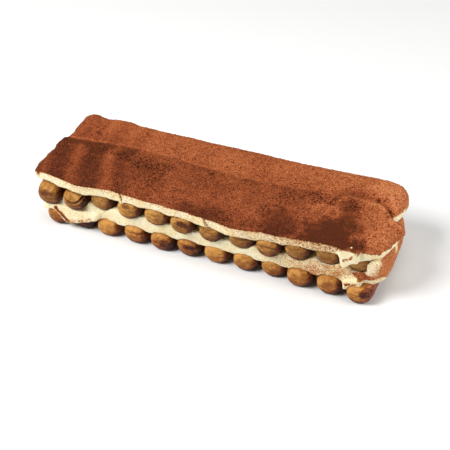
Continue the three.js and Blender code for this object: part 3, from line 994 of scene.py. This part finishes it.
def cream_cover(materials):
    skin = merged_copy("cream_cover")
    add_lump(skin, DRIP["centre"], DRIP["radii"])
    skin = remeshed(skin, COVER["voxel"])
    smoothed(skin, 2)
    smoothed(skin, COVER["smoothing"], cover_sharp)
    mesh = mesh_of(skin, "dusted_cream_cover")
    move(mesh, hanging_edge(points_of(mesh))[:, None] * (0, 0, -1))
    part_bands(mesh)
    shape_left_end(mesh)
    step_front(mesh)

    # Cocoa
    points, normals = points_of(mesh), normals_of(mesh)
    x = points[:, 0]
    from_front = points[:, 1] - COVER["front"]
    front_face = ease(-normals[:, 1], 0.5, 0.8) * (1 - ease(from_front, 3, 12))
    faults = np.maximum(along_line(points, CRACK, 0.9), 0.8 * along_line(points, OVERLAP, 0.9))
    faults *= front_face
    crumbs, crumb_heights = cream_crumbs(points)
    behind = behind_seam(points)
    ragged = ragged_edge(points)
    damp_left = DAMP_LEFT["amount"] * ease(x, *DAMP_LEFT["over"])
    damp = np.maximum(patches_over(points, DAMP_PATCHES, ragged, DAMP_FADE), damp_left)
    dark = patches_over(points, DARK_PATCHES, ragged)
    # The seam adds painted highlight and shade to the cocoa's tone.
    painted_seam_shading, fold_height = seam_folds(points, behind)
    tone = cover_tone(points, behind, ragged, damp, dark) + painted_seam_shading
    tone += 0.5 * along_streak(points, COVER_FOLD["smear"]) - 1.2 * faults
    dusting = cover_dusting(points, normals, front_face, faults) * (1 - crumbs)

    # Relief
    topside = ease(normals[:, 2], 0.3, 0.6)
    left_end = ease(-normals[:, 0], 0.3, 0.7) * (1 - front_face)
    torn = 1.4 * noise_over(points, 9, seed=23) + 0.5 * noise_over(points, 4, seed=24)
    on_top = (top_relief(points, damp) + fold_height) * topside
    push(mesh, on_top + front_relief(points) * front_face + torn * left_end + crumb_heights)

    opened = 0.4 + 0.6 * high_on_front(points)
    paint(mesh, "dusting", dusting)
    paint(mesh, "damp", damp)
    paint(mesh, "tone", tone)
    pitted_right = PITTED_RIGHT["amount"] * ease(x, *PITTED_RIGHT["over"])
    paint(mesh, "pitted", np.maximum(dark, pitted_right).clip(0, 1))
    paint(mesh, "porous", front_face * opened * (1 - clean_fold(points, COVER_FOLD)))
    return add_piece(mesh, materials, ["cream_cover"])


def bed_sharp(point):
    fold_end = FOLD_END[0] < point.x < FOLD_END[1]
    return point.y < BED["front"] + SHARP and not fold_end


def dusted_end(points, rim):
    """Cocoa on the bed's right end, over a bare lip. The front corner is only speckled."""
    x, y, z = points.T
    soft = DUSTED_END["soft"]
    line = DUSTED_WALL["from"] + DUSTED_WALL["slant"] * (z - DUSTED_WALL["at"])
    turned = points[:, :2] @ np.array(DUSTED_WALL["facing"]) - line
    bare_spot = hump(np.linalg.norm(points - BARE_SPOT["centre"], axis=1), 0, BARE_SPOT["radius"])
    rear_corner = ease(y + 3 * rim, *DUSTED_WALL["rear"])
    wall = ease(turned + 1.5 * rim, -DUSTED_WALL["soft"], DUSTED_WALL["soft"]) * (1 - rear_corner)
    low_front = 1 - ease(z + 1.5 * rim, DUSTED_END["front_top"] - soft, DUSTED_END["front_top"] + soft)
    right_of_line = ease(past_line(points, DUSTED_END) + 1.5 * rim, -1.5, 2)
    lip = END_LIP["height"] - END_LIP["drop"] * ease(y, *END_LIP["over"])
    above_lip = ease(z + 0.6 * rim - lip, -1, 1)
    specks = SPECKLED_CORNER["least"] + SPECKLED_CORNER["added"] * ease(turned, *SPECKLED_CORNER["near"])
    specks *= ease(x, *SPECKLED_CORNER["from"])
    dusted = np.maximum.reduce([wall, low_front * right_of_line, specks])
    return dusted * above_lip * (1 - BARE_SPOT["amount"] * bare_spot)


def cream_bed(materials):
    skin = remeshed(merged_copy("cream_bed"), BED["voxel"])
    smoothed(skin, 3)
    smoothed(skin, BED["smoothing"], bed_sharp)
    mesh = mesh_of(skin, "soft_cream_bed")

    points, normals = points_of(mesh), normals_of(mesh)
    x = points[:, 0]
    cut_front = ease(-normals[:, 1], 0.3, 0.7)
    rim = 1.2 * noise_over(points, 6, seed=8) + 0.6 * noise_over(points, 2.5, seed=9)
    patchy = 0.75 + 0.25 * noise_over(points, 6, seed=16)
    along = BED_DUST["least"] + BED_DUST["right"] * ease(x, *BED_DUST["over"])
    face = along * patchy * cut_front * ease(x, *BED_DUST["end"])
    scattered = 0.4 + 0.5 * noise_over(points, 2.2, (1, 1, 3), seed=29)
    specks = along_streak(points, DROOP_SPECKS, 2.0) * scattered
    streak = along_streak(points, COCOA_STREAK, 1.2)
    dusting = np.maximum.reduce([face, dusted_end(points, rim), specks])
    dusting = np.maximum(fold_smear(points, dusting, BED_FOLD), streak)
    tone = 0.1 + 0.3 * noise_over(points, 9, seed=19) - 0.4 * streak + 0.5 * specks
    # Painted light on the bed's dusted right end, which the cover shades.
    rises, falls = BED_PAINTED_LIGHT["beside"]
    tone += ease(x, *BED_PAINTED_LIGHT["end"]) + BED_PAINTED_LIGHT["amount"] * ease(x, *rises) * ease(x, *falls)
    tone -= 0.5 * along_streak(points, BED_FOLD["smear"])
    push(mesh, 0.3 * noise_over(points, 5, seed=17) + 0.18 * noise_over(points, 2.6, seed=18))

    paint(mesh, "dusting", dusting)
    for name in ("damp", "pitted"):
        paint(mesh, name, np.zeros(len(points)))
    paint(mesh, "tone", tone)
    paint(mesh, "porous", cut_front * (0.3 + 0.55 * ease(x, 40, 150)))
    return add_piece(mesh, materials, ["cream_bed"])


def split_materials(piece, limit=0.5):
    """Faces that are mostly dusted take the second material, which has the cocoa's sheen."""
    mesh = piece.data
    values = painted(mesh, "dusting")
    for face in mesh.polygons:
        share = sum(values[i] for i in face.vertices) / len(face.vertices)
        face.material_index = int(share > limit)


# Loose cocoa

def cocoa_clumps(cover):
    """Small clumps of cocoa all over the dusted top, as one mesh."""
    draw = np.random.default_rng(CLUMPS["seed"])
    mesh = cover.data
    points, normals = points_of(mesh), normals_of(mesh)
    damp = painted(mesh, "damp").clip(0, 1)
    weight = (painted(mesh, "dusting") > 0.95) * (normals[:, 2] > 0.2) * (1.03 - damp)
    spots = draw.choice(len(points), CLUMPS["count"], replace=False, p=weight / weight.sum())
    sizes = CLUMPS["smallest"] + (CLUMPS["largest"] - CLUMPS["smallest"]) * draw.random(len(spots)) ** 3
    spread = 0.7 * (1 - damp[spots])
    tones = painted(mesh, "tone")[spots] + draw.normal(-0.15, 1, len(spots)) * spread
    skin = bmesh.new()
    bmesh.ops.create_icosphere(skin, subdivisions=1, radius=1)
    ball = np.array([v.co for v in skin.verts])
    corners = np.array([[v.index for v in face.verts] for face in skin.faces])
    skin.free()
    jitter = draw.uniform(-0.4, 0.4, (len(spots), 3)) * COVER["voxel"]
    uneven = draw.uniform(0.7, 1.2, (len(spots), len(ball), 1))
    centres = points[spots] + jitter * (1, 1, 0)
    vertices = ORIGIN + centres[:, None] + ball * uneven * sizes[:, None, None] * (1, 1, CLUMPS["flat"])
    faces = corners + len(ball) * np.arange(len(spots))[:, None, None]
    clumps = bpy.data.meshes.new("cocoa_clumps")
    clumps.from_pydata((vertices.reshape(-1, 3) * MM).tolist(), [], faces.reshape(-1, 3).tolist())
    clumps.shade_smooth()
    paint(clumps, "tone", np.repeat(tones, len(ball)))
    add_piece(clumps, [cocoa_grains()])


# Studio

def studio_floor():
    skin = bmesh.new()
    bmesh.ops.create_grid(skin, x_segments=1, y_segments=1, size=3)
    floor = bpy.data.objects.new("floor", mesh_of(skin, "floor"))
    bpy.context.scene.collection.objects.link(floor)
    material, tree, shader = new_material("pale_floor")
    feed(tree, shader, {"Base Color": colour(FLOOR_COLOUR), "Roughness": 0.9})
    floor.data.materials.append(material)


def softbox(name, direction, size, power):
    light = bpy.data.lights.new(name, "AREA")
    light.shape = "DISK"
    light.size = size
    light.energy = power
    lamp = bpy.data.objects.new(name, light)
    towards = Vector(direction).normalized()
    lamp.location = towards * LIGHT_DISTANCE
    lamp.rotation_euler = (-towards).to_track_quat("-Z", "Y").to_euler()
    bpy.context.scene.collection.objects.link(lamp)


def studio_light():
    for name, (direction, size, power) in LIGHTS.items():
        softbox(name, direction, size, power)
    world = bpy.data.worlds.new("studio")
    world.use_nodes = True
    tree = world.node_tree
    feed(tree, tree.nodes["Background"], {"Color": colour("#ffffff"), "Strength": WORLD_STRENGTH})
    bpy.context.scene.world = world
    bpy.context.scene.view_settings.view_transform = "Standard"


def photo_camera():
    turn = math.radians(CAMERA["azimuth"])
    rise = math.radians(CAMERA["elevation"])
    back = Vector((math.sin(turn) * math.cos(rise), -math.cos(turn) * math.cos(rise), math.sin(rise)))
    lens = bpy.data.cameras.new("photo_camera")
    lens.sensor_width = 36
    lens.lens = CAMERA["lens"]
    camera = bpy.data.objects.new("photo_camera", lens)
    camera.location = (Vector(ORIGIN + CAMERA["target"]) + back * CAMERA["distance"]) * MM
    camera.rotation_euler = (-back).to_track_quat("-Z", "Y").to_euler()
    bpy.context.scene.collection.objects.link(camera)
    bpy.context.scene.camera = camera


photo_camera()
studio_floor()
studio_light()
ladyfinger_rows()
finishes = [
    dusted_cream("cream", sheen=0.0, gloss=0.3, glow=0.3),
    dusted_cream("cocoa_over_cream", sheen=0.25, gloss=0.05, glow=0.0),
]
cover = cream_cover(finishes)
bed = cream_bed(finishes)
split_materials(cover)
split_materials(bed)
cocoa_clumps(cover)
